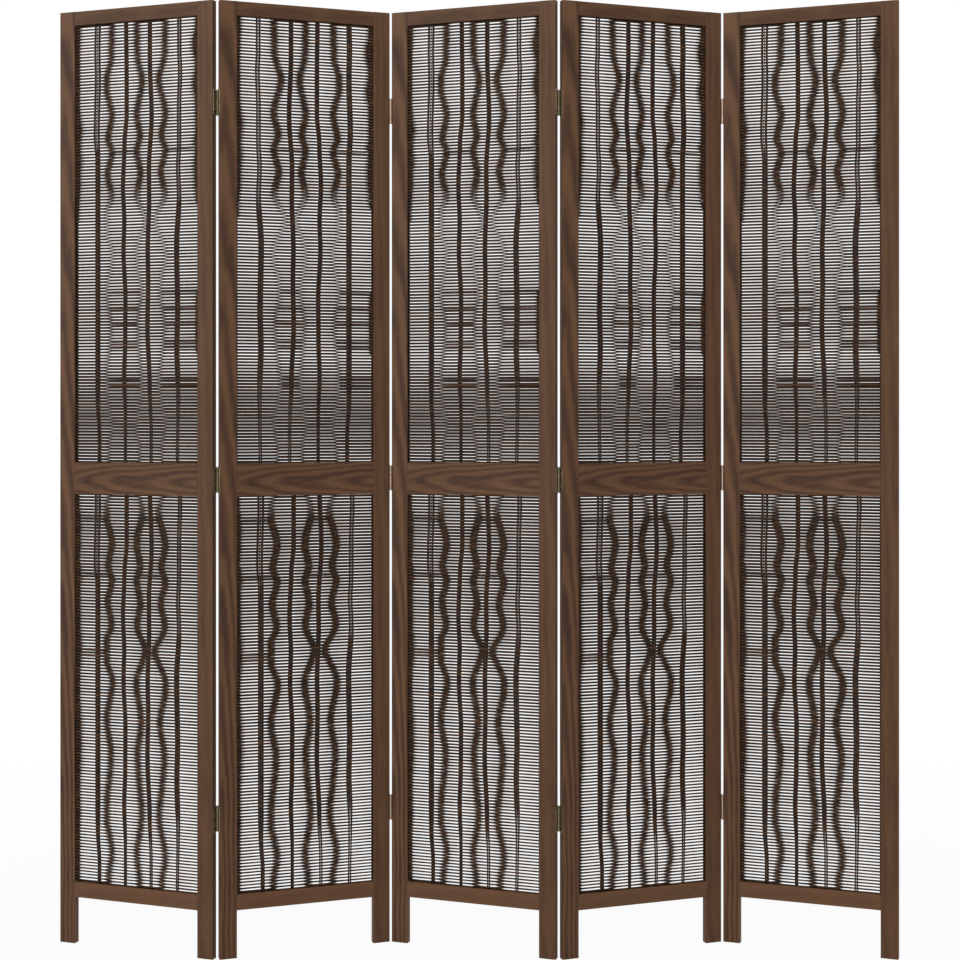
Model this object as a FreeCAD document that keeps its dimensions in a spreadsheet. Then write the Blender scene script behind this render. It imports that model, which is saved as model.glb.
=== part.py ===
"""Five-panel folding screen: wooden frames with woven mats, joined by butt hinges.

The screen stands in the zigzag it is used in. Lengths are in millimetres, +Z is up, the front faces -Y,
and the origin is on the floor at the middle of the standing screen. Each panel is drawn in its own frame,
with x along the panel from its left edge, y from its front to its back and z up from the floor, and is then
placed in the zigzag.
"""
import FreeCAD, Part
import os
import Sketcher

from FreeCAD import Placement, Rotation, Vector

PANEL_COUNT = 5
KNUCKLE_COUNT = 5
UP = Vector(0, 0, 1)
NEARLY_PARALLEL = 0.99

DIMENSIONS = (
    ("panel_height", 1700.0, "floor to the top of the frame"),
    ("panel_width", 314.3, "across one panel, over both stiles"),
    ("panel_thickness", 14.0, "front to back of the stiles and rails"),
    ("fold_angle", 20.0, "turn of each panel from the line of the screen, in degrees"),
    ("stile_width", 30.9, "across the face of a stile"),
    ("top_rail_height", 25.5, "across the face of the top rail"),
    ("middle_rail_height", 58.5, "across the face of the middle rail"),
    ("middle_rail_base", 820.0, "floor to the underside of the middle rail"),
    ("bottom_rail_height", 28.0, "across the face of the bottom rail"),
    ("leg_height", 84.5, "floor to the underside of the bottom rail"),
    ("edge_round", 1.0, "radius of the eased long edges of the frame"),
    ("tenon_length", 12.0, "reach of a rail's tenon into the stile"),
    ("tenon_thickness", 5.0, "front to back of a tenon"),
    ("tenon_shoulder", 6.5, "step from a rail's upper and lower edges to its tenon"),
    ("mortise_end_gap", 0.5, "free depth past the end of a tenon"),
    ("groove_depth", 5.0, "depth of the grooves that hold the mats"),
    ("groove_side_gap", 0.2, "free width between a mat and each cheek of its groove"),
    ("mat_end_gap", 0.5, "free depth past the sides and top of a mat"),
    ("weft_thickness", 2.0, "front to back of one layer of wefts"),
    ("weft_pitch", 5.55, "spacing of the wefts in one layer"),
    ("weft_gap", 3.35, "height of the see-through row between two wefts of a layer"),
    ("weft_web", 3.0, "strip that joins the ends of the wefts inside the grooves"),
    ("stake_diameter", 3.2, "thickness of an upright rod of a mat"),
    ("stake_gap", 0.05, "free space between a rod and a layer of wefts"),
    ("stake_group_gap", 0.1, "free space between two rods of a group"),
    ("stake_left_outer", -82.0, "outer left group, from the middle of the panel"),
    ("stake_left_inner", -23.5, "inner left group, from the middle of the panel"),
    ("stake_right_inner", 26.5, "inner right group, from the middle of the panel"),
    ("stake_right_outer", 86.0, "outer right group, from the middle of the panel"),
    ("stake_edge_gap", 0.4, "free space between a side rod and the stile"),
    ("hinge_gap", 2.0, "between the edges of two panels that stand in line"),
    ("hinge_length", 45.0, "height of a butt hinge"),
    ("hinge_rise", 247.0, "floor to the middle of the low hinge"),
    ("hinge_drop", 180.0, "top of the frame to the middle of the high hinge"),
    ("leaf_thickness", 0.8, "sheet of a hinge leaf"),
    ("leaf_margin", 2.0, "bare strip of the stile's edge past a leaf"),
    ("pin_offset", 2.2, "from the face of a panel out to the hinge pin"),
    ("barrel_radius", 2.0, "outside of a knuckle"),
    ("knuckle_gap", 0.3, "between two knuckles"),
    ("pin_radius", 1.0, "hinge pin"),
    ("pin_clearance", 0.05, "running fit of the pin in the knuckles"),
    ("pin_head_radius", 1.6, "rim of the pin's heads"),
    ("pin_head_height", 0.9, "height of the pin's heads"),
    ("screw_margin", 5.5, "end of a leaf to the middle of its end screw"),
    ("screw_length", 10.0, "over the whole hinge screw"),
    ("screw_tip", 2.5, "pointed end of a screw"),
    ("screw_radius", 1.1, "shank of a screw"),
    ("screw_head_radius", 2.2, "rim of a screw's countersunk head"),
    ("screw_clearance", 0.05, "free space round a screw in its pilot hole"),
    ("recess_width", 0.6, "slots of the cross recess in a screw's head"),
    ("recess_length", 2.2, "across the cross recess"),
    ("recess_depth", 0.6, "depth of the cross recess"),
)

OPENING_WIDTH = "(Dims.panel_width - 2 * Dims.stile_width)"
MAT_THICKNESS = "(Dims.stake_diameter + 2 * Dims.stake_gap + 2 * Dims.weft_thickness)"
GROOVE_WIDTH = f"({MAT_THICKNESS} + 2 * Dims.groove_side_gap)"
GROOVE_FRONT = f"((Dims.panel_thickness - {GROOVE_WIDTH}) / 2)"
TENON_FRONT = "((Dims.panel_thickness - Dims.tenon_thickness) / 2)"
KNUCKLE_LENGTH = f"((Dims.hinge_length - {KNUCKLE_COUNT - 1} * Dims.knuckle_gap) / {KNUCKLE_COUNT})"
LEAF_WIDTH = "(Dims.panel_thickness - Dims.leaf_margin)"
SCREW_LINE = "(Dims.panel_thickness / 2)"
SCREW_SPACING = "(Dims.hinge_length / 2 - Dims.screw_margin)"

RAILS = {
    "bottom_rail": ("Dims.leg_height", "Dims.bottom_rail_height"),
    "middle_rail": ("Dims.middle_rail_base", "Dims.middle_rail_height"),
    "top_rail": ("(Dims.panel_height - Dims.top_rail_height)", "Dims.top_rail_height"),
}
OPENINGS = {
    "lower": ("(Dims.leg_height + Dims.bottom_rail_height)", "Dims.middle_rail_base"),
    "upper": (
        "(Dims.middle_rail_base + Dims.middle_rail_height)",
        "(Dims.panel_height - Dims.top_rail_height)",
    ),
}
STAKE_GROUPS = ("stake_left_outer", "stake_left_inner", "stake_right_inner", "stake_right_outer")
STAKE_STEPS = (-1, 0, 1)
STAKE_SPACING = "(Dims.stake_diameter + Dims.stake_group_gap)"
HINGE_HEIGHTS = (
    "Dims.hinge_rise",
    "(Dims.middle_rail_base + Dims.middle_rail_height / 2)",
    "(Dims.panel_height - Dims.hinge_drop)",
)
SCREW_STEPS = (-1, 0, 1)

doc = FreeCAD.newDocument("folding_screen")
sheet = doc.addObject("Spreadsheet::Sheet", "Dims")
for row, (alias, value, meaning) in enumerate(DIMENSIONS, start=1):
    sheet.set(f"A{row}", meaning)
    sheet.set(f"B{row}", str(value))
    sheet.setAlias(f"B{row}", alias)
doc.recompute()

subparts = []


def size(expression):
    """Value of an expression in the sheet's dimensions."""
    return float(sheet.evalExpression(expression.replace("Dims.", "")))


def bind(target, expressions):
    """Ties named properties of an object to expressions in the sheet's dimensions."""
    for name, expression in expressions.items():
        target.setExpression(name, expression)
    return target


def finish(target, label, placement):
    """Names a sub-part, stands it in its place and lists it for export."""
    target.Label = label
    target.Placement = placement
    subparts.append(target)


# Sketches and features of the wooden pieces


def new_sketch(body, name, role, offset="0"):
    """Starts a sketch on an origin plane of a body, moved along the plane's normal by an expression."""
    sketch = body.newObject("Sketcher::SketchObject", name)
    plane = next(feature for feature in body.Origin.OriginFeatures if feature.Role == role)
    sketch.AttachmentSupport = [(plane, "")]
    sketch.MapMode = "FlatFace"
    sketch.setExpression("AttachmentOffset.Base.z", offset)
    return sketch


def drive(sketch, kind, *place, expression):
    """Adds a dimension to a sketch and ties it to an expression."""
    index = sketch.addConstraint(Sketcher.Constraint(kind, *place, size(expression)))
    sketch.setExpression(f"Constraints[{index}]", expression)


def add_rectangle(sketch, left, low, width, height):
    """Adds a rectangle from four expressions; a left or low of None puts that side on the sketch's axis."""
    x = size(left) if left else 0.0
    y = size(low) if low else 0.0
    across, along = Vector(size(width), 0, 0), Vector(0, size(height), 0)
    corner = Vector(x, y, 0)
    corners = (corner, corner + across, corner + across + along, corner + along)
    first = sketch.GeometryCount
    for i in range(4):
        sketch.addGeometry(Part.LineSegment(corners[i], corners[(i + 1) % 4]))
    for i in range(4):
        direction = "Vertical" if i % 2 else "Horizontal"
        sketch.addConstraint(Sketcher.Constraint("Coincident", first + i, 2, first + (i + 1) % 4, 1))
        sketch.addConstraint(Sketcher.Constraint(direction, first + i))
    for kind, expression, axis in (("DistanceX", left, -2), ("DistanceY", low, -1)):
        if expression:
            drive(sketch, kind, -1, 1, first, 1, expression=expression)
        else:
            sketch.addConstraint(Sketcher.Constraint("PointOnObject", first, 1, axis))
    drive(sketch, "DistanceX", first, 1, first, 2, expression=width)
    drive(sketch, "DistanceY", first + 1, 1, first + 1, 2, expression=height)


def add_circle(sketch, x, y, radius):
    """Adds a circle from three expressions for its centre and radius."""
    index = sketch.addGeometry(Part.Circle(Vector(size(x), size(y), 0), UP, size(radius)))
    drive(sketch, "DistanceX", -1, 1, index, 3, expression=x)
    drive(sketch, "DistanceY", -1, 1, index, 3, expression=y)
    drive(sketch, "Radius", index, expression=radius)


def add_feature(body, kind, name, sketch, length, reverse=False):
    """Pads or pockets a sketch by a length given as an expression."""
    feature = body.newObject(f"PartDesign::{kind}", name)
    feature.Profile = sketch
    feature.Reversed = reverse
    return bind(feature, {"Length": length})


def ease_edges(body, blank, direction):
    """Rounds the long edges of a padded blank."""
    doc.recompute()
    edges = [
        f"Edge{number}"
        for number, edge in enumerate(blank.Shape.Edges, start=1)
        if abs(edge.tangentAt(edge.FirstParameter).dot(direction)) > NEARLY_PARALLEL
    ]
    fillet = body.newObject("PartDesign::Fillet", "EasedEdges")
    fillet.Base = (blank, edges)
    bind(fillet, {"Radius": "Dims.edge_round"})


def add_tenon_section(sketch, base, height):
    """Adds the section of a rail's tenon, which is also the outline of its mortise."""
    low = f"{base} + Dims.tenon_shoulder"
    rise = f"{height} - 2 * Dims.tenon_shoulder"
    add_rectangle(sketch, TENON_FRONT, low, "Dims.tenon_thickness", rise)


def make_stile(label, placement, hinged):
    """Left stile: a bar with mortises, mat grooves and, on a hinged edge, pilot holes for leaf screws."""
    body = doc.addObject("PartDesign::Body", label)
    section = new_sketch(body, "Section", "XY_Plane")
    add_rectangle(section, None, None, "Dims.stile_width", "Dims.panel_thickness")
    blank = add_feature(body, "Pad", "Blank", section, "Dims.panel_height")
    ease_edges(body, blank, UP)
    mortises = new_sketch(body, "MortiseOutlines", "YZ_Plane", "Dims.stile_width")
    for base, height in RAILS.values():
        add_tenon_section(mortises, base, height)
    add_feature(body, "Pocket", "Mortises", mortises, "Dims.tenon_length + Dims.mortise_end_gap")
    grooves = new_sketch(body, "GrooveOutlines", "YZ_Plane", "Dims.stile_width")
    for low, high in OPENINGS.values():
        length = f"{high} - {low} + 2 * Dims.groove_depth"
        add_rectangle(grooves, GROOVE_FRONT, f"{low} - Dims.groove_depth", GROOVE_WIDTH, length)
    add_feature(body, "Pocket", "MatGrooves", grooves, "Dims.groove_depth")
    if hinged:
        pilots = new_sketch(body, "PilotOutlines", "YZ_Plane")
        for middle in HINGE_HEIGHTS:
            for step in SCREW_STEPS:
                height = f"{middle} + {step} * {SCREW_SPACING}"
                add_circle(pilots, SCREW_LINE, height, "Dims.screw_radius + Dims.screw_clearance")
        depth = "Dims.screw_length - Dims.leaf_thickness + Dims.screw_clearance"
        add_feature(body, "Pocket", "PilotHoles", pilots, depth, reverse=True)
    finish(body, label, placement)


def make_rail(label, placement, name):
    """Rail between the stiles, with a tenon at each end and a groove on each edge that faces a mat."""
    base, height = RAILS[name]
    body = doc.addObject("PartDesign::Body", label)
    section = new_sketch(body, "Section", "YZ_Plane", "Dims.stile_width")
    add_rectangle(section, None, base, "Dims.panel_thickness", height)
    blank = add_feature(body, "Pad", "Blank", section, OPENING_WIDTH)
    ease_edges(body, blank, Vector(1, 0, 0))
    tenon = new_sketch(body, "TenonSection", "YZ_Plane", "Dims.stile_width - Dims.tenon_length")
    add_tenon_section(tenon, base, height)
    add_feature(body, "Pad", "Tenons", tenon, f"{OPENING_WIDTH} + 2 * Dims.tenon_length")
    edges = {"UpperGroove": f"{base} + {height}", "LowerGroove": base}
    skipped = {"top_rail": "UpperGroove", "bottom_rail": "LowerGroove"}.get(name)
    for groove, level in edges.items():
        if groove != skipped:
            outline = new_sketch(body, f"{groove}Outline", "XY_Plane", level)
            add_rectangle(outline, "Dims.stile_width", GROOVE_FRONT, OPENING_WIDTH, GROOVE_WIDTH)
            below = groove == "LowerGroove"
            add_feature(body, "Pocket", groove, outline, "Dims.groove_depth", reverse=below)
    finish(body, label, placement)


# Woven mats


def rectangle_wire(left, right, low, high):
    """Upright rectangle in the plane y = 0."""
    corners = [Vector(left, 0, low), Vector(right, 0, low), Vector(right, 0, high), Vector(left, 0, high)]
    return Part.makePolygon(corners + corners[:1])


def make_weft_layer(opening, fewer_rows):
    """One layer of wefts in the plane y = 0: a thin sheet with a see-through row between every two wefts.

    The rows are centred in the opening, so the wefts of a layer with one row fewer lie half a pitch off.
    """
    low, high = (size(expression) for expression in OPENINGS[opening])
    tuck = size("Dims.groove_depth - Dims.mat_end_gap")
    left, right = size("Dims.stile_width") - tuck, size("Dims.panel_width - Dims.stile_width") + tuck
    pitch, gap, web = size("Dims.weft_pitch"), size("Dims.weft_gap"), size("Dims.weft_web")
    outline = rectangle_wire(left, right, low - size("Dims.groove_depth"), high + tuck)
    row_count = int((high - low) / pitch) - fewer_rows
    first_row = (low + high - row_count * pitch + pitch - gap) / 2
    rows = [
        rectangle_wire(left + web, right - web, first_row + i * pitch, first_row + i * pitch + gap)
        for i in range(row_count)
    ]
    sheet_face = Part.makeFace([outline] + rows, "Part::FaceMakerBullseye")
    return sheet_face.extrude(Vector(0, size("Dims.weft_thickness"), 0))


def make_wefts(label, placement, layers):
    """Both layers of a mat's wefts: the back ones, behind the stakes, lie level with the front rows."""
    middle = size("Dims.panel_thickness / 2")
    reach = size("Dims.stake_diameter / 2 + Dims.stake_gap")
    thickness = size("Dims.weft_thickness")
    front, back = (layer.copy() for layer in layers)
    front.translate(Vector(0, middle - reach - thickness, 0))
    back.translate(Vector(0, middle + reach, 0))
    wefts = doc.addObject("Part::Feature", label)
    wefts.Shape = Part.makeCompound([front, back])
    finish(wefts, label, placement)


def make_stakes(label, placement, opening):
    """Upright rods of a mat, held in the rails' grooves: one at each stile and four groups of three."""
    low, high = OPENINGS[opening]
    side = "(Dims.stake_diameter / 2 + Dims.stake_edge_gap)"
    places = [f"Dims.stile_width + {side}", f"Dims.panel_width - Dims.stile_width - {side}"]
    for group in STAKE_GROUPS:
        for step in STAKE_STEPS:
            places.append(f"Dims.panel_width / 2 + Dims.{group} + {step} * {STAKE_SPACING}")
    rods = []
    for place in places:
        rod = doc.addObject("Part::Cylinder", "Rod")
        bind(rod, {
            "Radius": "Dims.stake_diameter / 2",
            "Height": f"{high} - {low} + 2 * Dims.groove_depth - Dims.mat_end_gap",
            "Placement.Base.x": place,
            "Placement.Base.y": "Dims.panel_thickness / 2",
            "Placement.Base.z": f"{low} - Dims.groove_depth",
        })
        rods.append(rod)
    stakes = doc.addObject("Part::Compound", label)
    stakes.Links = rods
    finish(stakes, label, placement)


# Hinges, each drawn with its pin's axis as z, the leaf's panel on the -x side and the panel's face on -y


def make_solid(kind, name, expressions, rotation=Rotation()):
    """Part primitive with its sizes and base point tied to expressions."""
    solid = doc.addObject(f"Part::{kind}", name)
    solid.Placement = Placement(Vector(), rotation)
    return bind(solid, expressions)


def combine(name, shapes, tools):
    """Fuses solids into one piece and cuts tools out of it."""
    fused = doc.addObject("Part::MultiFuse", f"{name}Blank")
    fused.Shapes = shapes
    fused.Refine = True
    cutter = doc.addObject("Part::Compound", f"{name}Tools")
    cutter.Links = tools
    piece = doc.addObject("Part::Cut", name)
    piece.Base = fused
    piece.Tool = cutter
    return piece


def make_leaf(name, knuckles):
    """Hinge leaf: a plate on the stile's edge, knuckles round the pin and three countersunk holes."""
    plate_side = "-Dims.hinge_gap / 2"
    plate = make_solid("Box", f"{name}Plate", {
        "Length": "Dims.leaf_thickness",
        "Width": LEAF_WIDTH,
        "Height": "Dims.hinge_length",
        "Placement.Base.x": plate_side,
        "Placement.Base.y": f"-Dims.pin_offset - {LEAF_WIDTH}",
        "Placement.Base.z": "-Dims.hinge_length / 2",
    })
    solids = [plate]
    for knuckle in knuckles:
        base = f"-Dims.hinge_length / 2 + {knuckle} * ({KNUCKLE_LENGTH} + Dims.knuckle_gap)"
        arm = make_solid("Box", f"{name}Arm", {
            "Length": "Dims.leaf_thickness",
            "Width": "Dims.pin_offset",
            "Height": KNUCKLE_LENGTH,
            "Placement.Base.x": plate_side,
            "Placement.Base.y": "-Dims.pin_offset",
            "Placement.Base.z": base,
        })
        barrel = make_solid("Cylinder", f"{name}Barrel", {
            "Radius": "Dims.barrel_radius",
            "Height": KNUCKLE_LENGTH,
            "Placement.Base.z": base,
        })
        solids += [arm, barrel]
    bore = make_solid("Cylinder", f"{name}Bore", {
        "Radius": "Dims.pin_radius + Dims.pin_clearance",
        "Height": "Dims.hinge_length",
        "Placement.Base.z": "-Dims.hinge_length / 2",
    })
    tools = [bore]
    for step in SCREW_STEPS:
        tools.append(make_solid("Cone", f"{name}Countersink", {
            "Radius1": "Dims.screw_radius",
            "Radius2": "Dims.screw_head_radius",
            "Height": "Dims.leaf_thickness",
            "Placement.Base.x": plate_side,
            "Placement.Base.y": f"-Dims.pin_offset - {SCREW_LINE}",
            "Placement.Base.z": f"{step} * {SCREW_SPACING}",
        }, Rotation(UP, Vector(1, 0, 0))))
    return combine(name, solids, tools)


def make_screw():
    """Countersunk wood screw along z: its head fills the leaf from z = 0 up, and its tip points down."""
    shank_length = "(Dims.screw_length - Dims.leaf_thickness - Dims.screw_tip)"
    head = make_solid("Cone", "ScrewHead", {
        "Radius1": "Dims.screw_radius",
        "Radius2": "Dims.screw_head_radius",
        "Height": "Dims.leaf_thickness",
    })
    shank = make_solid("Cylinder", "ScrewShank", {
        "Radius": "Dims.screw_radius",
        "Height": shank_length,
        "Placement.Base.z": f"-{shank_length}",
    })
    tip = make_solid("Cone", "ScrewTip", {
        "Radius1": "0",
        "Radius2": "Dims.screw_radius",
        "Height": "Dims.screw_tip",
        "Placement.Base.z": f"-{shank_length} - Dims.screw_tip",
    })
    slots = []
    for length, width in (("recess_length", "recess_width"), ("recess_width", "recess_length")):
        slots.append(make_solid("Box", "ScrewRecess", {
            "Length": f"Dims.{length}",
            "Width": f"Dims.{width}",
            "Height": "Dims.recess_depth",
            "Placement.Base.x": f"-Dims.{length} / 2",
            "Placement.Base.y": f"-Dims.{width} / 2",
            "Placement.Base.z": "Dims.leaf_thickness - Dims.recess_depth",
        }))
    return combine("Screw", [head, shank, tip], slots)


def make_pin():
    """Hinge pin along z with a tapered head on each end, which keeps it in the knuckles."""
    shank = make_solid("Cylinder", "PinShank", {
        "Radius": "Dims.pin_radius",
        "Height": "Dims.hinge_length",
        "Placement.Base.z": "-Dims.hinge_length / 2",
    })
    heads = []
    for name, rim, crown, base in (
        ("PinTop", "Radius1", "Radius2", "Dims.hinge_length / 2"),
        ("PinFoot", "Radius2", "Radius1", "-Dims.hinge_length / 2 - Dims.pin_head_height"),
    ):
        heads.append(make_solid("Cone", name, {
            rim: "Dims.pin_head_radius",
            crown: "Dims.pin_radius",
            "Height": "Dims.pin_head_height",
            "Placement.Base.z": base,
        }))
    pin = doc.addObject("Part::MultiFuse", "Pin")
    pin.Shapes = [shank] + heads
    return pin


def make_group(label, pieces, placement):
    """Sub-part of separate equal solids: a list of masters and their places in the panel's frame."""
    links = []
    for master, place in pieces:
        link = doc.addObject("App::Link", f"{label}_piece")
        link.LinkedObject = master
        link.LinkPlacement = place
        links.append(link)
    group = doc.addObject("Part::Compound", label)
    group.Links = links
    finish(group, label, placement)


def hinge_frame(on_right, at_back, height):
    """Place of a hinge in its panel's frame, from the edge that its leaf is on and the side of its pin."""
    x = size("Dims.panel_width + Dims.hinge_gap / 2") if on_right else size("-Dims.hinge_gap / 2")
    y = size("Dims.panel_thickness + Dims.pin_offset") if at_back else size("-Dims.pin_offset")
    turn = Rotation(Vector(1 if on_right else -1, 0, 0), Vector(0, 1 if at_back else -1, 0), Vector(), "XYZ")
    return Placement(Vector(x, y, size(height)), turn)


# The zigzag: odd panels come forward to the right, even panels to the left


def comes_forward_right(panel):
    """Tells whether a panel's right edge is nearer to the front than its left edge."""
    return panel % 2 == 1


def stand_panels():
    """Places of the panels, walked from pin to pin and centred on the origin."""
    places = {}
    pin = Vector()
    corners = []
    for panel in range(1, PANEL_COUNT + 1):
        forward = comes_forward_right(panel)
        turn = Rotation(UP, -size("Dims.fold_angle") if forward else size("Dims.fold_angle"))
        left_pin = hinge_frame(False, not forward, HINGE_HEIGHTS[0]).Base
        right_pin = hinge_frame(True, forward, HINGE_HEIGHTS[0]).Base
        base = pin - turn.multVec(left_pin)
        base.z = 0
        places[panel] = Placement(base, turn)
        pin = places[panel].multVec(right_pin)
        for x in (0, size("Dims.panel_width")):
            for y in (0, size("Dims.panel_thickness")):
                corners.append(places[panel].multVec(Vector(x, y, 0)))
    xs, ys = [corner.x for corner in corners], [corner.y for corner in corners]
    middle = Vector((min(xs) + max(xs)) / 2, (min(ys) + max(ys)) / 2, 0)
    for place in places.values():
        place.Base -= middle
    return places


def make_panel(panel, place, layers):
    """Frame and mats of one panel."""
    name = f"panel_{panel}"
    turned = Placement(Vector(size("Dims.panel_width"), size("Dims.panel_thickness"), 0), Rotation(UP, 180))
    make_stile(f"{name}_left_stile", place, hinged=panel > 1)
    make_stile(f"{name}_right_stile", place * turned, hinged=panel < PANEL_COUNT)
    for rail in RAILS:
        make_rail(f"{name}_{rail}", place, rail)
    for opening in OPENINGS:
        make_wefts(f"{name}_{opening}_wefts", place, layers[opening])
        turn_mat = opening == "upper" and not comes_forward_right(panel)
        make_stakes(f"{name}_{opening}_stakes", place * turned if turn_mat else place, opening)


def make_hardware(panel, place, outer_leaf, inner_leaf, screw, pin):
    """Hinge leaves and screws of one panel, and the pins of the joint line on its right."""
    forward = comes_forward_right(panel)
    edges = []
    if panel > 1:
        edges.append((inner_leaf, False, not forward))
    if panel < PANEL_COUNT:
        edges.append((outer_leaf, True, forward))
    to_screw = Placement(
        Vector(size("-Dims.hinge_gap / 2"), size(f"-Dims.pin_offset - {SCREW_LINE}"), 0),
        Rotation(UP, Vector(1, 0, 0)),
    )
    leaves, screws = [], []
    for leaf, on_right, at_back in edges:
        for height in HINGE_HEIGHTS:
            frame = hinge_frame(on_right, at_back, height)
            leaves.append((leaf, frame))
            for step in SCREW_STEPS:
                rise = Placement(Vector(0, 0, step * size(SCREW_SPACING)), Rotation())
                screws.append((screw, frame * rise * to_screw))
    make_group(f"panel_{panel}_hinge_leaves", leaves, place)
    make_group(f"panel_{panel}_hinge_screws", screws, place)
    if panel < PANEL_COUNT:
        pins = [(pin, hinge_frame(True, forward, height)) for height in HINGE_HEIGHTS]
        make_group(f"hinge_{panel}_{panel + 1}_pins", pins, place)


def export_subparts():
    """Checks every object and sub-part, then writes each sub-part to its own file."""
    failed = [item.Label for item in doc.Objects if "Invalid" in item.State or "Error" in item.State]
    for item in subparts:
        shape = item.Shape
        if shape.isNull() or not shape.isValid() or not shape.Solids:
            failed.append(item.Label)
    if failed:
        raise RuntimeError(f"failed: {failed}")
    os.makedirs("parts", exist_ok=True)
    for item in subparts:
        item.Shape.exportStep(os.path.join("parts", f"{item.Label}.step"))
        print(f"{item.Label}: {len(item.Shape.Solids)} solids, {item.Shape.Volume:.1f} mm3")


places = stand_panels()
weft_layers = {opening: [make_weft_layer(opening, fewer) for fewer in (0, 1)] for opening in OPENINGS}
outer_leaf = make_leaf("OuterLeaf", range(0, KNUCKLE_COUNT, 2))
inner_leaf = make_leaf("InnerLeaf", range(1, KNUCKLE_COUNT, 2))
screw = make_screw()
pin = make_pin()
for panel, place in places.items():
    make_panel(panel, place, weft_layers)
    make_hardware(panel, place, outer_leaf, inner_leaf, screw, pin)
doc.recompute()
export_subparts()
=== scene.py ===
"""Dresses a five-panel folding screen: stained wooden frames, woven mats and bronzed butt hinges.

The screen stands in the zigzag it is used in. Sizes are written in millimetres and turned into metres where a
mesh is made. Each panel has its own frame, with x along the panel from its left edge, y from its front to its
back and z up from the floor, and a panel's pieces are worked out there before they are placed in the zigzag.
"""

import logging
import math
from dataclasses import dataclass, field
from enum import Enum
from typing import Any

import bpy
import numpy as np
from mathutils import Matrix, Vector

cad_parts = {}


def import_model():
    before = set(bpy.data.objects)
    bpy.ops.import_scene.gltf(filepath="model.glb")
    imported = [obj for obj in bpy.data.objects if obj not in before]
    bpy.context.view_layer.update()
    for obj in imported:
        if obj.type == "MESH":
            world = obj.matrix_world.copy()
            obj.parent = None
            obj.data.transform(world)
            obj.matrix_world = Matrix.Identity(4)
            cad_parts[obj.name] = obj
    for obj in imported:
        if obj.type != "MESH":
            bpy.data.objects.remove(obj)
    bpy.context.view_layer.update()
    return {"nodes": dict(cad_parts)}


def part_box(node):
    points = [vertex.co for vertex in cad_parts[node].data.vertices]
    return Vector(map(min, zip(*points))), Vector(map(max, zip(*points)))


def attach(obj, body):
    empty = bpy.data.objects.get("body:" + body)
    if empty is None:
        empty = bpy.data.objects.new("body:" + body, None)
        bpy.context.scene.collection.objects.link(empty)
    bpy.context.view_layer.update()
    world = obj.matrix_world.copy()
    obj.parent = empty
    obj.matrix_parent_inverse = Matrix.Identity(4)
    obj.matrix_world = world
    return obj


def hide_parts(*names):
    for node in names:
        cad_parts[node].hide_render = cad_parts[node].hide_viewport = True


MM = 0.001
PANEL_COUNT = 5
PLACE_TOLERANCE = 1.0
STRIP_MARGIN = 0.1
LOG = logging.getLogger("folding_screen")

Colour = tuple[float, float, float, float]
Place = tuple[float, float, float]
Table = tuple[tuple[float, float], ...]


class Fold(Enum):
    """Which way a panel comes forward; the value is the sign of its turn about the upright."""

    FORWARD_RIGHT = -1
    FORWARD_LEFT = 1


class Opening(Enum):
    """The two openings of a panel's frame, by the name that their pieces carry."""

    UPPER = "upper"
    LOWER = "lower"


class Grain(Enum):
    """Direction of a wooden piece's grain in its panel."""

    UPRIGHT = "upright"
    ACROSS = "across"


def linear(hex_code: str) -> Colour:
    """Turns an sRGB hex colour into linear light.

    By the sRGB curve a value up to 0.04045 is divided by 12.92, and a higher one has 0.055 added, is divided
    by 1.055 and raised to the power of 2.4.

    Args:
        hex_code: six hex digits, red first.

    Returns:
        Linear red, green and blue, and an alpha of 1.
    """
    parts = [int(hex_code[i:i + 2], 16) / 255 for i in (0, 2, 4)]
    values = [p / 12.92 if p <= 0.04045 else ((p + 0.055) / 1.055) ** 2.4 for p in parts]
    return (*values, 1.0)


def add_node(tree: bpy.types.NodeTree, kind: str, settings: dict[str, Any] | None = None,
             **inputs: Any) -> bpy.types.Node:
    """Adds a node with its settings, values and links.

    Args:
        tree: node tree to add to.
        kind: Blender's name of the node type.
        settings: the node's properties by name.
        **inputs: a value or a socket for each input, by its name with underscores for spaces, or by its
            number after an underscore.

    Returns:
        The new node.
    """
    node = tree.nodes.new(kind)
    for name, value in (settings or {}).items():
        setattr(node, name, value)
    for name, value in inputs.items():
        socket = node.inputs[int(name[1:]) if name[1:].isdigit() else name.replace("_", " ")]
        if isinstance(value, bpy.types.NodeSocket):
            tree.links.new(value, socket)
        else:
            socket.default_value = value
    return node


def set_ramp(node: bpy.types.Node, stops: tuple[float, ...], *hex_codes: str) -> bpy.types.NodeSocket:
    """Sets a colour ramp's stops, in order.

    Args:
        node: the ramp.
        stops: position of each stop.
        *hex_codes: sRGB colour of each stop.

    Returns:
        The ramp's colour output.
    """
    elements = node.color_ramp.elements
    while len(elements) < len(stops):
        elements.new(0.5)
    for element, position, hex_code in zip(elements, stops, hex_codes):
        element.position = position
        element.color = linear(hex_code)
    return node.outputs["Color"]


def swing(tree: bpy.types.NodeTree, value: bpy.types.NodeSocket, share: float,
          middle: float = 0.0) -> bpy.types.NodeSocket:
    """Makes a value of 0 to 1 swing about a middle, as share * (value - 1/2) + middle.

    Args:
        tree: node tree to add to.
        value: the value.
        share: how far it swings from end to end.
        middle: what it swings about.

    Returns:
        The swinging value.
    """
    return add_node(tree, "ShaderNodeMath", {"operation": "MULTIPLY_ADD"}, _0=value, _1=share,
                    _2=middle - share / 2).outputs[0]


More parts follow.
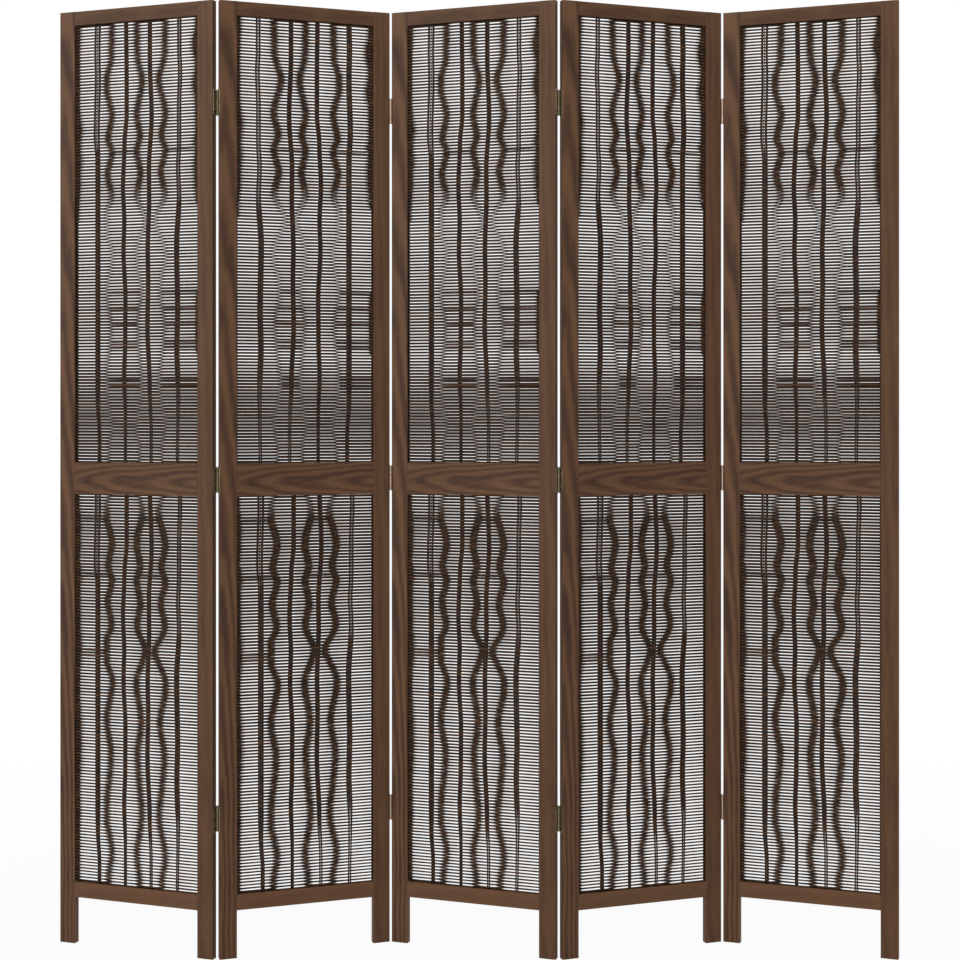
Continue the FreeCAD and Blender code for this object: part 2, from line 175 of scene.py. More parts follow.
def drawn_out_noise(tree: bpy.types.NodeTree, coords: bpy.types.NodeSocket, size: tuple[float, float],
                    **inputs: Any) -> bpy.types.Node:
    """Adds a noise that is drawn out along x, the direction of the grain.

    Args:
        tree: node tree to add to.
        coords: coordinates in metres.
        size: length of the noise's features along x and their width along y and z, in millimetres.
        **inputs: values of the noise's other inputs.

    Returns:
        The noise.
    """
    along, across = (1 / (length * MM) for length in size)
    scaled = add_node(tree, "ShaderNodeMapping", Vector=coords, Scale=(along, across, across))
    return add_node(tree, "ShaderNodeTexNoise", Vector=scaled.outputs[0], Scale=1.0, **inputs)


def start_material(name: str) -> tuple[bpy.types.Material, bpy.types.NodeTree]:
    """Makes an empty node material.

    Args:
        name: the finish's name.

    Returns:
        The material and its cleared node tree.
    """
    material = bpy.data.materials.new(name)
    material.use_nodes = True
    material.node_tree.nodes.clear()
    return material, material.node_tree


def dress(piece: bpy.types.Object, material: bpy.types.Material) -> None:
    """Gives a piece one material in place of what it has.

    Args:
        piece: the piece, with or without a material slot.
        material: its material.
    """
    if not piece.material_slots:
        piece.data.materials.append(material)
    for slot in piece.material_slots:
        slot.material = material


def tube_map(tubes: int, count: int, sides: int) -> np.ndarray:
    """Lays tubes out as strips one above the other: u runs along a tube and v round it.

    With the strip's margin m, side k of tube i has v = (i + m + (1 - 2 * m) * k / sides) / tubes.

    Args:
        tubes: number of tubes.
        count: number of rings in a tube.
        sides: number of sides in a ring.

    Returns:
        Places of the corners of all quads and then of all ends, shaped (corners, 2).
    """
    tube = np.arange(tubes)[:, None, None]
    along = np.arange(count - 1)[None, :, None] / (count - 1)
    step = 1 / (count - 1)
    side = np.arange(sides)[None, None, :]
    strip = 1 - 2 * STRIP_MARGIN
    shape = (tubes, count - 1, sides)
    u = np.stack([np.broadcast_to(along + add, shape) for add in (0, 0, step, step)], axis=-1)
    v = np.stack([np.broadcast_to((tube + STRIP_MARGIN + strip * (side + add) / sides) / tubes, shape)
                  for add in (0, 1, 1, 0)], axis=-1)
    end_u = np.broadcast_to(np.array([0.0, 1.0])[None, :, None], (tubes, 2, sides))
    end_v = np.broadcast_to((tube + STRIP_MARGIN + strip * side / sides) / tubes, (tubes, 2, sides))
    all_u = np.concatenate((u.ravel(), end_u.ravel()))
    all_v = np.concatenate((v.ravel(), end_v.ravel()))
    return np.stack((all_u, all_v), axis=-1)


def tube_mesh(name: str, rings: np.ndarray) -> bpy.types.Mesh:
    """Makes closed tubes from rings of points.

    The surface of tube i is a function of the ring number along it and the side number round it. A quad joins
    sides k and k + 1 of rings j and j + 1, the last side joins the first, and a flat end closes each tube.

    Args:
        name: mesh name.
        rings: points in metres, shaped (tubes, rings, sides, 3), with each ring's sides counted so that they
            turn right-handed about the tube's direction.

    Returns:
        The mesh, smooth along its sides.
    """
    tubes, count, sides, _ = rings.shape
    index = np.arange(tubes * count * sides).reshape(tubes, count, sides)
    onward = np.roll(index, -1, axis=2)
    quads = np.stack((index[:, :-1], onward[:, :-1], onward[:, 1:], index[:, 1:]), axis=-1)
    ends = np.stack((index[:, 0, ::-1], index[:, -1]), axis=1)
    loops = np.concatenate((quads.ravel(), ends.ravel()))
    quad_count, end_count = quads.size // 4, tubes * 2
    starts = np.concatenate((np.arange(quad_count) * 4, quad_count * 4 + np.arange(end_count) * sides))

    mesh = bpy.data.meshes.new(name)
    mesh.vertices.add(index.size)
    mesh.loops.add(loops.size)
    mesh.polygons.add(quad_count + end_count)
    mesh.vertices.foreach_set("co", rings.astype(np.float32).ravel())
    mesh.loops.foreach_set("vertex_index", loops.astype(np.int32))
    mesh.polygons.foreach_set("loop_start", starts.astype(np.int32))
    mesh.polygons.foreach_set("use_smooth", np.arange(quad_count + end_count) < quad_count)
    layer = mesh.uv_layers.new(name="OFBake")
    layer.data.foreach_set("uv", tube_map(tubes, count, sides).astype(np.float32).ravel())
    mesh.update(calc_edges=True)
    mesh.validate()
    return mesh


def add_piece(name: str, mesh: bpy.types.Mesh) -> bpy.types.Object:
    """Puts a mesh into the scene as a piece at the origin.

    Args:
        name: the piece's name.
        mesh: its mesh.

    Returns:
        The piece.
    """
    piece = bpy.data.objects.new(name, mesh)
    bpy.context.scene.collection.objects.link(piece)
    return piece


@dataclass(frozen=True)
class PanelSizes:
    """Sizes that the panels share, in millimetres and degrees."""

    height: float = 1700.0
    width: float = 314.3
    thickness: float = 14.0
    fold_angle: float = 20.0
    stile_width: float = 30.9
    top_rail_height: float = 25.5
    middle_rail_height: float = 58.5
    middle_rail_base: float = 820.0
    bottom_rail_height: float = 28.0
    leg_height: float = 84.5
    hinge_gap: float = 2.0
    pin_offset: float = 2.2

    @property
    def opening_width(self) -> float:
        """Width of an opening between the stiles."""
        return self.width - 2 * self.stile_width

    def opening(self, which: Opening) -> tuple[float, float]:
        """Finds an opening's reach up the panel.

        Args:
            which: the opening.

        Returns:
            Heights of its lower and upper edges above the floor.
        """
        if which is Opening.UPPER:
            return self.middle_rail_base + self.middle_rail_height, self.height - self.top_rail_height
        return self.leg_height + self.bottom_rail_height, self.middle_rail_base


@dataclass(frozen=True)
class PanelPlace:
    """Place of one panel in the zigzag.

    Attributes:
        number: panel number, from the left.
        fold: which way the panel comes forward.
        turn: turn about the upright, in radians.
        base: the panel's lower left front corner, x and y in millimetres.
    """

    number: int
    fold: Fold
    turn: float
    base: tuple[float, float]

    @property
    def body(self) -> str:
        """Name of the body that the panel's pieces ride on."""
        return f"panel_{self.number}"

    def node(self, piece: str) -> str:
        """Name of one of the panel's nodes."""
        return f"panel_{self.number}_{piece}"

    def to_row(self, points: np.ndarray) -> np.ndarray:
        """Turns points of the panel's frame into the screen's: a turn about z, then a shift.

        Args:
            points: millimetres in the panel's frame, the last axis being x, y, z.

        Returns:
            The points in metres in the screen's frame.
        """
        cos, sin = math.cos(self.turn), math.sin(self.turn)
        x, y, z = points[..., 0], points[..., 1], points[..., 2]
        return np.stack((cos * x - sin * y + self.base[0], sin * x + cos * y + self.base[1], z), axis=-1) * MM


def stand_panels(sizes: PanelSizes) -> list[PanelPlace]:
    """Walks the zigzag from pin to pin and centres it on the origin.

    Args:
        sizes: sizes of the panels.

    Returns:
        The panels' places, from the left.
    """
    pin = np.zeros(2)
    walked = []
    corners = []
    for number in range(1, PANEL_COUNT + 1):
        fold = Fold.FORWARD_RIGHT if number % 2 else Fold.FORWARD_LEFT
        turn = fold.value * math.radians(sizes.fold_angle)
        rotation = np.array([[math.cos(turn), -math.sin(turn)], [math.sin(turn), math.cos(turn)]])
        front, back = -sizes.pin_offset, sizes.thickness + sizes.pin_offset
        left_y, right_y = (front, back) if fold is Fold.FORWARD_RIGHT else (back, front)
        base = pin - rotation @ np.array([-sizes.hinge_gap / 2, left_y])
        pin = base + rotation @ np.array([sizes.width + sizes.hinge_gap / 2, right_y])
        outline = np.array([[0, 0], [sizes.width, 0], [0, sizes.thickness], [sizes.width, sizes.thickness]])
        corners.append(base + outline @ rotation.T)
        walked.append((number, fold, turn, base))
    outer = np.concatenate(corners)
    middle = (outer.min(axis=0) + outer.max(axis=0)) / 2
    return [PanelPlace(number, fold, turn, tuple(base - middle)) for number, fold, turn, base in walked]


@dataclass(frozen=True)
class WoodFigure:
    """Figure of a sawn board, from the growth rings that its face cuts.

    Attributes:
        name: the figure's name.
        ring_spacing: width of a growth ring, in millimetres.
        heart_depth: depth of the tree's heart behind the face at the middle of the piece, in millimetres.
        heart_side: shift of the heart across the face, in millimetres.
        climb: how much nearer the heart comes for each millimetre along the grain.
        waviness: sideways wander of the rings, in millimetres.
        contrast: share of the full dark and light that the rings take.
        paleness: how much less stain the board took, as a share of the way from dark to light.
    """

    name: str
    ring_spacing: float
    heart_depth: float
    heart_side: float
    climb: float
    waviness: float
    contrast: float
    paleness: float = 0.0


FLAME = WoodFigure("flame", ring_spacing=7.5, heart_depth=15.0, heart_side=5.0, climb=0.085, waviness=5.0,
                   contrast=0.85)
STREAKED = WoodFigure("streaked", ring_spacing=8.5, heart_depth=44.0, heart_side=15.0, climb=-0.05,
                      waviness=3.0, contrast=0.9)
QUIET = WoodFigure("quiet", ring_spacing=6.0, heart_depth=60.0, heart_side=-20.0, climb=0.01, waviness=3.0,
                   contrast=0.35)
PLAIN = WoodFigure("plain", ring_spacing=8.0, heart_depth=50.0, heart_side=10.0, climb=0.012, waviness=4.0,
                   contrast=0.45)
PALE = WoodFigure("pale", ring_spacing=8.0, heart_depth=50.0, heart_side=10.0, climb=0.012, waviness=4.0,
                  contrast=0.35, paleness=0.34)


@dataclass(frozen=True)
class StainedWood:
    """Paulownia or a like light wood, planed, stained walnut brown and given a satin lacquer.

    The stain gathers in the soft part of each ring and in the pores, so the face shows brown bands along the
    grain, fine fibres and short dark pores under an even low sheen. Pores are drawn about three times as wide
    as real ones, so that they show from across a room.

    Attributes:
        dark: colour of the deepest stain.
        middle: colour of the mean stain.
        light: colour of the thinnest stain.
        pore: colour of a pore.
        stops: depths of stain at which these three colours are reached.
        wander: length and width of the rings' waves, in millimetres.
        fibre: length and width of a fibre, in millimetres.
        cloud: length and width of a broad cloud in the stain, in millimetres.
        pore_size: length and width of a pore, in millimetres.
        wander_gain: how far the rings are pushed for a waviness of one.
        ring_share: share of the depth of stain that the rings of full contrast take.
        fibre_share: the same for the fibres.
        cloud_share: the same for the clouds.
        pore_levels: levels of the pores' noise where a pore begins and where it is deepest.
        pore_depth: share of the pore's colour in the deepest pore.
        fibre_levels: levels of the fibres' noise between which the roughness changes.
        roughness: roughness at these two levels.
        relief: height of the fibres and pores, in millimetres.
    """

    dark: str = "3E2516"
    middle: str = "5F412A"
    light: str = "735036"
    pore: str = "2A1B12"
    stops: tuple[float, ...] = (0.12, 0.5, 0.9)
    wander: tuple[float, float] = (111.1, 18.18)
    fibre: tuple[float, float] = (90.0, 1.6)
    cloud: tuple[float, float] = (166.7, 33.33)
    pore_size: tuple[float, float] = (14.0, 1.0)
    wander_gain: float = 2.5
    ring_share: float = 0.62
    fibre_share: float = 0.5
    cloud_share: float = 0.6
    pore_levels: tuple[float, float] = (0.62, 0.78)
    pore_depth: float = 0.55
    fibre_levels: tuple[float, float] = (0.3, 0.7)
    roughness: tuple[float, float] = (0.49, 0.63)
    relief: float = 0.15

    def build(self, name: str, figure: WoodFigure, place: PanelPlace, centre: np.ndarray,
              grain: Grain) -> bpy.types.Material:
        """Makes the finish of one piece, with its figure centred on the piece and its grain along it.

        Args:
            name: the material's name.
            figure: the board's figure.
            place: the piece's panel.
            centre: the piece's middle in the screen's frame, in metres.
            grain: the direction of its grain.

        Returns:
            The material.
        """
        material, tree = start_material(name)
        board = self.lay_board(tree, place, centre, grain)
        fibres = drawn_out_noise(tree, board, self.fibre, Detail=4.0, Roughness=0.6).outputs["Fac"]
        pores = self.open_pores(tree, board)
        stain = self.stain(tree, board, figure, fibres)
        colour = add_node(tree, "ShaderNodeMix", {"data_type": "RGBA"}, _0=pores, _6=stain,
                          _7=linear(self.pore))
        gloss = add_node(tree, "ShaderNodeMapRange", Value=fibres, From_Min=self.fibre_levels[0],
                         From_Max=self.fibre_levels[1], To_Min=self.roughness[0], To_Max=self.roughness[1])
        relief = add_node(tree, "ShaderNodeMath", {"operation": "SUBTRACT"}, _0=fibres, _1=pores)
        bump = add_node(tree, "ShaderNodeBump", Height=relief.outputs[0], Strength=0.25,
                        Distance=self.relief * MM)
        shader = add_node(tree, "ShaderNodeBsdfPrincipled", Base_Color=colour.outputs[2], IOR=1.5,
                          Roughness=gloss.outputs[0], Normal=bump.outputs[0], Specular_IOR_Level=0.25)
        add_node(tree, "ShaderNodeOutputMaterial", Surface=shader.outputs[0])
        return material

    @staticmethod
    def lay_board(tree: bpy.types.NodeTree, place: PanelPlace, centre: np.ndarray,
                  grain: Grain) -> bpy.types.NodeSocket:
        """Lays the board's coordinates: x along the grain, y across the face and z into the wood.

        Args:
            tree: node tree to add to.
            place: the piece's panel.
            centre: the piece's middle in the screen's frame, in metres.
            grain: the direction of its grain.

        Returns:
            Coordinates in metres from the piece's middle.
        """
        if grain is Grain.UPRIGHT:
            lay = Matrix(((0, 0, 1), (1, 0, 0), (0, 1, 0)))
        else:
            lay = Matrix(((1, 0, 0), (0, 0, 1), (0, -1, 0)))
        rotation = lay @ Matrix.Rotation(-place.turn, 3, "Z")
        shift = -(rotation @ Vector(centre))
        coords = add_node(tree, "ShaderNodeTexCoord").outputs["Object"]
        return add_node(tree, "ShaderNodeMapping", Vector=coords, Location=shift,
                        Rotation=rotation.to_euler()).outputs["Vector"]

    def growth_rings(self, tree: bpy.types.NodeTree, board: bpy.types.NodeSocket,
                     figure: WoodFigure) -> bpy.types.NodeSocket:
        """Draws the growth rings, which are circles round the heart.

        The ring number is the distance of (y, depth - climb * x + z) from zero over the ring spacing, after a
        noise has pushed y and z. Blender's ring wave has 20 / tau rings to a metre at a scale of 1.

        Args:
            tree: node tree to add to.
            board: the board's coordinates.
            figure: the board's figure.

        Returns:
            A value from 0 to 1 across each ring.
        """
        wander = drawn_out_noise(tree, board, self.wander, Detail=3.0)
        centred = add_node(tree, "ShaderNodeVectorMath", {"operation": "SUBTRACT"},
                           _0=wander.outputs["Color"], _1=(0.5, 0.5, 0.5))
        amount = self.wander_gain * figure.waviness * MM
        pushed = add_node(tree, "ShaderNodeVectorMath", {"operation": "MULTIPLY_ADD"}, _0=centred.outputs[0],
                          _1=(0, amount, amount), _2=board)
        heart = add_node(tree, "ShaderNodeMapping", Vector=pushed.outputs[0],
                         Rotation=(0, math.asin(figure.climb), 0),
                         Location=(0, figure.heart_side * MM, figure.heart_depth * MM))
        return add_node(tree, "ShaderNodeTexWave", {"wave_type": "RINGS", "rings_direction": "X"},
                        Vector=heart.outputs[0], Scale=math.tau / (20 * figure.ring_spacing * MM),
                        Distortion=1.2, Detail=2.0, Detail_Scale=0.6).outputs["Fac"]

    def stain(self, tree: bpy.types.NodeTree, board: bpy.types.NodeSocket, figure: WoodFigure,
              fibres: bpy.types.NodeSocket) -> bpy.types.NodeSocket:
        """Colours the stain by its depth: the rings, by the figure's contrast, with fibres and broad clouds.

        Args:
            tree: node tree to add to.
            board: the board's coordinates.
            figure: the board's figure.
            fibres: the fibres' noise.

        Returns:
            The stain's colour.
        """
        rings = self.growth_rings(tree, board, figure)
        clouds = drawn_out_noise(tree, board, self.cloud, Detail=2.0).outputs["Fac"]
        ring_part = swing(tree, rings, self.ring_share * figure.contrast, 0.5 + figure.paleness)
        ringed = add_node(tree, "ShaderNodeMath", {"operation": "ADD"}, _0=ring_part,
                          _1=swing(tree, fibres, self.fibre_share))
        depth = add_node(tree, "ShaderNodeMath", {"operation": "ADD", "use_clamp": True},
                         _0=ringed.outputs[0], _1=swing(tree, clouds, self.cloud_share))
        ramp = add_node(tree, "ShaderNodeValToRGB", Fac=depth.outputs[0])
        return set_ramp(ramp, self.stops, self.dark, self.middle, self.light)

    def open_pores(self, tree: bpy.types.NodeTree, board: bpy.types.NodeSocket) -> bpy.types.NodeSocket:
        """Opens short pores along the grain.

        Args:
            tree: node tree to add to.
            board: the board's coordinates.

        Returns:
            Share of the pores' colour, nought between pores.
        """
        noise = drawn_out_noise(tree, board, self.pore_size, Detail=1.0)
        return add_node(tree, "ShaderNodeMapRange", Value=noise.outputs["Fac"], From_Min=self.pore_levels[0],
                        From_Max=self.pore_levels[1], To_Min=0.0, To_Max=self.pore_depth).outputs[0]


@dataclass(frozen=True)
class StainedStrand:
    """Round willow or rush strands, stained dark brown and left matte.

    Each strand took the stain a little differently, so strands differ from near black to red brown, with
    slow changes and fine fibres along their length.

    Attributes:
        name: the finish's name.
        colours: deepest, mean and thinnest stain.
        strands: number of strands in the piece.
        stops: depths of stain at which these three colours are reached.
        changes: slow changes of tone along a strand.
        fibres_along: fibres end to end along a strand.
        fibres_round: fibres side by side round a strand.
        fibre_share: share of the depth of stain that the fibres take.
        relief: height of the fibres, in millimetres.
        roughness: roughness of the dry surface.
    """

    name: str
    colours: tuple[str, str, str]
    strands: int
    stops: tuple[float, ...] = (0.25, 0.55, 0.8)
    changes: float = 3.0
    fibres_along: float = 40.0
    fibres_round: float = 8.0
    fibre_share: float = 0.35
    relief: float = 0.1
    roughness: float = 0.62

    def build(self) -> bpy.types.Material:
        """Makes the finish; the piece's map gives the strand by its row and the way along it.

        Returns:
            The material.
        """
        material, tree = start_material(self.name)
        # Rows of the map are strands: the tone's noise is long along u and one row high along v
        row_scale = (self.changes, self.strands, 1)
        fibre_scale = (self.fibres_along, self.fibres_round * self.strands, 1)
        uv = add_node(tree, "ShaderNodeUVMap", {"uv_map": "OFBake"}).outputs["UV"]
        rows, fibre_place = (add_node(tree, "ShaderNodeMapping", Vector=uv, Scale=scale).outputs[0]
                             for scale in (row_scale, fibre_scale))
        row_tone = add_node(tree, "ShaderNodeTexNoise", {"noise_dimensions": "2D"}, Vector=rows, Scale=1.0,
                            Detail=1.0)
        fibres = add_node(tree, "ShaderNodeTexNoise", {"noise_dimensions": "2D"}, Vector=fibre_place,
                          Scale=1.0, Detail=2.0).outputs["Fac"]
        depth = add_node(tree, "ShaderNodeMath", {"operation": "ADD", "use_clamp": True},
                         _0=row_tone.outputs["Fac"], _1=swing(tree, fibres, self.fibre_share))
        ramp = add_node(tree, "ShaderNodeValToRGB", Fac=depth.outputs[0])
        colour = set_ramp(ramp, self.stops, *self.colours)
        bump = add_node(tree, "ShaderNodeBump", Height=fibres, Strength=0.3, Distance=self.relief * MM)
        shader = add_node(tree, "ShaderNodeBsdfPrincipled", Base_Color=colour, Roughness=self.roughness,
                          IOR=1.45, Specular_IOR_Level=0.3, Normal=bump.outputs[0])
        add_node(tree, "ShaderNodeOutputMaterial", Surface=shader.outputs[0])
        return material


@dataclass(frozen=True)
class PatinatedMetal:
    """Plated steel with a thin patina: a satin metal, browner and rougher where the patina is thick.

    The hinges towards the front of the screen are drawn darker, and those towards its back in a paler tan,
    which is
    painted light: the glow of the white surroundings that the hinges in the folds lying back catch.

    Attributes:
        name: the finish's name.
        front: bright and patinated colours on the front of the screen.
        back: the same on its back, paler as painted light from the white surroundings.
        roughness: mean roughness.
        patch_size: width of a patch of patina, in millimetres.
        stops: levels of the patches' noise at which these two colours are reached.
        patch_levels: levels between which the roughness changes.
        roughness_change: change of the roughness at these two levels.
        turn_depth: distance before and behind the origin in which front turns into back, in millimetres.
    """

    name: str
    front: tuple[str, str]
    back: tuple[str, str]
    roughness: float
    patch_size: float
    stops: tuple[float, ...] = (0.35, 0.7)
    patch_levels: tuple[float, float] = (0.3, 0.7)
    roughness_change: tuple[float, float] = (-0.08, 0.12)
    turn_depth: float = 10.0

    def build(self) -> bpy.types.Material:
        """Makes the finish, with patches of patina a few millimetres across.

        Returns:
            The material.
        """
        material, tree = start_material(self.name)
        coords = add_node(tree, "ShaderNodeTexCoord").outputs["Object"]
        patches = add_node(tree, "ShaderNodeTexNoise", Vector=coords, Scale=1 / (self.patch_size * MM),
                           Detail=4.0, Roughness=0.6).outputs["Fac"]
        front, back = (set_ramp(add_node(tree, "ShaderNodeValToRGB", Fac=patches), self.stops, *colours)
                       for colours in (self.front, self.back))
        # Towards the back of the screen the colour turns into the paler copy: painted light from the white
        # surroundings
        depth = add_node(tree, "ShaderNodeSeparateXYZ", Vector=coords).outputs["Y"]
        share = add_node(tree, "ShaderNodeMapRange", Value=depth, From_Min=-self.turn_depth * MM,
                         From_Max=self.turn_depth * MM)
        colour = add_node(tree, "ShaderNodeMix", {"data_type": "RGBA"}, _0=share.outputs[0], _6=front,
                          _7=back)
        smoothest, roughest = (self.roughness + change for change in self.roughness_change)
        rough = add_node(tree, "ShaderNodeMapRange", Value=patches, From_Min=self.patch_levels[0],
                         From_Max=self.patch_levels[1], To_Min=smoothest, To_Max=roughest)
        shader = add_node(tree, "ShaderNodeBsdfPrincipled", Base_Color=colour.outputs[2], Metallic=1.0,
                          Roughness=rough.outputs[0])
        add_node(tree, "ShaderNodeOutputMaterial", Surface=shader.outputs[0])
        return material


# Each back pair is paler than its front pair as painted light: the white surroundings brighten the hinges in
# the folds that lie back
BRONZED_STEEL = PatinatedMetal("bronzed_steel", front=("ACA28A", "877B62"), back=("B3A08E", "947F6E"),
                               roughness=0.4, patch_size=4.0)
PIN_STEEL = PatinatedMetal("pin_steel", front=("ACA28A", "877B62"), back=("C9BBA6", "A08F76"),
                           roughness=0.34, patch_size=3.0)
BROWNED_SCREW = PatinatedMetal("browned_screw", front=("2A2114", "18120A"), back=("54452F", "362B1C"),
                               roughness=0.45, patch_size=2.0)


@dataclass
class WoodenFrame:
    """Stiles and rails of one panel, which keep their solids and get their finishes.

    Attributes:
        place: the frame's panel.
        finish: finish of all boards.
        pieces: node name, figure and grain of each board.
    """

    place: PanelPlace
    finish: StainedWood = field(default_factory=StainedWood)
    pieces: tuple[tuple[str, WoodFigure, Grain], ...] = (
        ("left_stile", STREAKED, Grain.UPRIGHT),
        ("right_stile", QUIET, Grain.UPRIGHT),
        ("top_rail", PLAIN, Grain.ACROSS),
        ("middle_rail", FLAME, Grain.ACROSS),
        ("bottom_rail", PALE, Grain.ACROSS),
    )

    def dress(self, nodes: dict[str, bpy.types.Object]) -> None:
        """Dresses the five boards, each with its own figure.

        Args:
            nodes: the frame's nodes by name.
        """
        for piece, figure, grain in self.pieces:
            name = self.place.node(piece)
            low, high = (np.array(corner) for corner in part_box(name))
            material = self.finish.build(f"stained_wood_{name}", figure, self.place, (low + high) / 2, grain)
            dress(nodes[name], material)
            LOG.info("%s: %s figure", name, figure.name)


@dataclass(frozen=True)
class Weaving:
    """How a mat was woven, by height above the floor in millimetres; values between are eased.

    Attributes:
        lift: sign of the lift of a strand that passes before a rod.
        start: height from which the cloth's own heights are counted.
        pairing: share of half a pitch that strands are lifted towards their partners at the rods.
        height: height of a strand.
        openness: 1 where the strands close up at the crossings, 0 where they stay apart.
        left_edge: distance from the left stile to the crossing beside it, or below nought where it is hidden.
        right_edge: the same at the right stile.
        missed: heights where a strand was missed, so that a row is closed in the second and fourth bays of an
            upper mat, or in the first and third of a lower one.
        seed: start of the mat's small irregularities.
    """

    lift: float
    start: float
    pairing: Table
    height: Table
    openness: Table
    left_edge: Table
    right_edge: Table
    missed: tuple[float, ...]
    seed: int


UPPER_WEAVING = Weaving(
    lift=1.0,
    start=776.0,
    pairing=((878, 0.36), (920, 0.24), (962, 0.12), (1010, 0.17), (1075, 0.42), (1130, 0.29), (1250, 0.25),
             (1347, 0.28), (1400, 0.49), (1550, 0.52), (1615, 0.52), (1675, 0.48)),
    height=((878, 2.55), (962, 2.57), (1020, 2.5), (1075, 2.32), (1140, 2.55), (1210, 2.22), (1320, 2.12),
            (1395, 2.85), (1675, 2.85)),
    openness=((1300, 0.0), (1390, 1.0)),
    left_edge=((1300, -9.0), (1330, 0.6), (1395, 4.4), (1428, 8.2), (1452, 5.4), (1485, 9.0), (1534, 0.6),
               (1606, 0.6), (1663, 5.0)),
    right_edge=((1065, -9.0), (1080, 4.0), (1170, 4.0), (1200, -9.0), (1325, -9.0), (1357, 5.5), (1411, 8.0),
                (1440, 4.5), (1450, 9.0), (1472, 2.5), (1516, 3.5), (1552, 11.0), (1588, 5.5), (1624, 12.0),
                (1675, 3.0)),
    missed=(1017.0, 1029.0, 1086.5, 1096.0, 1128.8, 1156.6, 1186.0, 1440.7),
    seed=17,
)
LOWER_WEAVING = Weaving(
    lift=-1.0,
    start=0.0,
    pairing=((112, 0.56), (155, 0.56), (267, 0.5), (380, 0.46), (493, 0.45), (643, 0.34), (751, 0.32),
             (820, 0.28)),
    height=((760, 2.85), (820, 2.6)),
    openness=((760, 1.0), (820, 0.2)),
    left_edge=((200, 1.0), (235, 4.5), (280, 2.5), (345, 8.0), (395, 8.0), (470, 1.0), (540, 9.0), (580, 4.0),
               (645, 4.0), (675, 8.0), (700, 0.0), (730, 4.5), (775, 4.5), (800, 2.0)),
    right_edge=((112, -9.0), (820, -9.0)),
    missed=(527.0, 536.0, 674.6, 776.0),
    seed=29,
)
# How far the crossings lean towards the first and third groups of rods, by the cloth's height
CROSSING_PUSH = (
    (125, 0.25), (170, -0.1), (240, 0.5), (350, 0.0), (410, 0.45), (480, -0.15), (540, 0.85), (585, -0.05),
    (625, 0.35), (665, -0.1), (690, 0.3), (730, -0.1), (790, 0.55), (840, -0.05), (900, -0.1),
)


def smooth_step(part: np.ndarray) -> np.ndarray:
    """Eases a share from 0 to 1 as 3t^2 - 2t^3, level at both ends."""
    share = np.clip(part, 0, 1)
    return share * share * (3 - 2 * share)


def eased(table: Table, heights: np.ndarray) -> np.ndarray:
    """Reads a table of heights and values, with a smooth step between its rows.

    Args:
        table: height and value of each row, from the lowest.
        heights: heights to read at.

    Returns:
        The values at those heights.
    """
    rows = np.array(table)
    place = np.interp(heights, rows[:, 0], np.arange(len(rows)))
    first = np.minimum(place.astype(int), len(rows) - 2)
    part = smooth_step(place - first)
    return rows[first, 1] * (1 - part) + rows[first + 1, 1] * part


def turn_over(distance: np.ndarray, still: np.ndarray, full: np.ndarray) -> np.ndarray:
    """Turns a strand's lift over at a crossing.

    The lift has the distance's sign. Four fifths of it are nought up to a first distance from the crossing
    and rise in a straight line up to a second one. The last fifth rises from the crossing in a flatter line,
    up to three times the second distance.

    Args:
        distance: distances from the crossing.
        still: first distance, where the steep line starts.
        full: second distance, where the steep line ends.

    Returns:
        Shares of the lift, from -1 to 1.
    """
    away = np.abs(distance)
    steep = np.clip((away - still) / (full - still), 0, 1)
    flat = np.minimum(away / (3 * full), 1)
    return np.sign(distance) * (0.8 * steep + 0.2 * flat)


@dataclass(frozen=True)
class RodGroup:
    """Three upright rods side by side, by the cloth's height.

    Attributes:
        share: place of the middle rod, as a share of the opening's width.
        close: spacing of the rods, and half the widths of an outer and of the middle rod, where they stand
            close.
        loose: the same where the group has come loose and the middle rod is near its tip.
        loosening: 1 where the group has come loose, 0 where it stands close.
        sway: how far the group leans to the right.
        firm_turned: whether the group stands close all the way up in a mat that is turned round.
    """

    share: float
    close: tuple[float, float, float]
    loose: tuple[float, float, float]
    loosening: Table
    sway: Table
    firm_turned: bool = False


ROD_GROUPS = (
    RodGroup(
        share=0.1766,
        close=(3.55, 1.75, 1.75),
        loose=(4.2, 2.15, 0.8),
        loosening=((655, 0.0), (690, 1.0)),
        sway=((150, 3.5), (210, 0.0), (650, 0.0), (700, -2.5), (800, 0.0), (850, -1.0), (900, 0.0)),
        firm_turned=True,
    ),
    RodGroup(
        share=0.4086,
        close=(2.9, 1.45, 1.45),
        loose=(2.9, 1.45, 1.45),
        loosening=((102, 0.0), (899, 0.0)),
        sway=((185, -1.0), (260, -3.5), (320, -1.5), (400, -1.0), (485, -5.0), (540, -3.5), (600, -6.0),
              (680, -3.0), (730, 1.5), (800, 1.5), (900, 0.5)),
    ),
    RodGroup(
        share=0.6066,
        close=(2.95, 1.5, 1.5),
        loose=(2.7, 1.7, 0.4),
        loosening=((190, 1.0), (230, 0.0)),
        sway=((165, 2.0), (240, -1.0), (350, -5.5), (430, -4.0), (485, -5.0), (580, -2.0), (630, -2.5),
              (725, 3.0), (830, -0.5)),
    ),
    RodGroup(
        share=0.8426,
        close=(3.55, 1.75, 1.75),
        loose=(2.7, 1.7, 0.4),
        loosening=((230, 1.0), (265, 0.0), (550, 0.0), (585, 1.0)),
        sway=((100, -4.0), (225, -2.5), (310, -5.0), (375, -3.5), (490, -5.5), (580, -0.5), (630, -2.5),
              (675, -0.5), (740, -0.5), (805, 1.5), (840, 0.0)),
    ),
)
# Share of their full width and spacing that the rods have, by the cloth's height
ROD_TAPER = ((165, 0.72), (260, 1.0))


